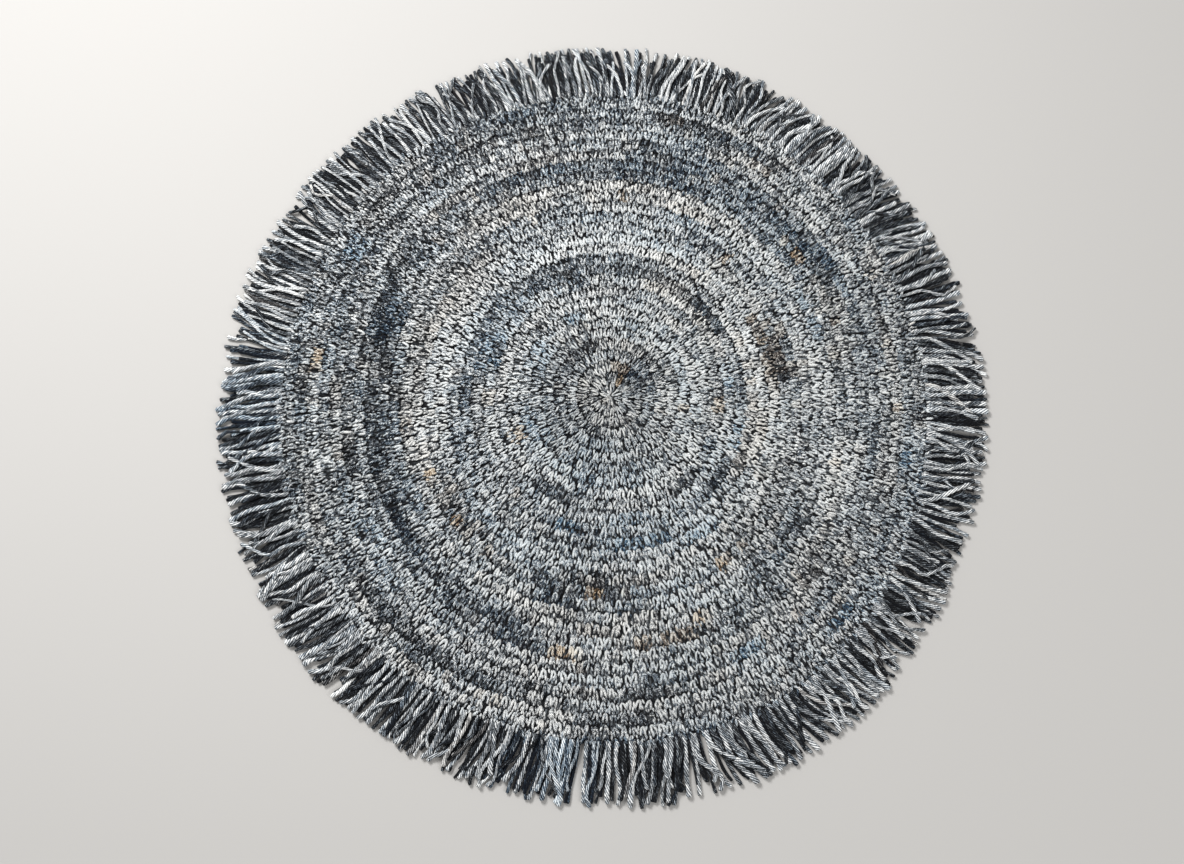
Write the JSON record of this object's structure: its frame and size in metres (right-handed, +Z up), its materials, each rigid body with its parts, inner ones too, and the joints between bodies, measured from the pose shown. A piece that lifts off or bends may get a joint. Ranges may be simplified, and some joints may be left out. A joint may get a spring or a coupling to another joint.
{
  "type": "crochet rug",
  "caption": "Round crochet rug in twisted grey and charcoal melange yarn, worked in rows from the middle out, with a cut yarn fringe around the edge.",
  "frame": {"origin": "floor under the middle of the rug's outline", "axes": "+Z up from the floor, +Y towards the top of the picture, +X to its right"},
  "size_m": [1.2001, 1.1964, 0.012],
  "materials": {
    "crochet_round_yarn": "matte",
    "fringe_yarn": "matte"
  },
  "bodies": {
    "root": {"crochet_round": "crochet_round_yarn", "fringe": "fringe_yarn"}
  },
  "joints": []
}
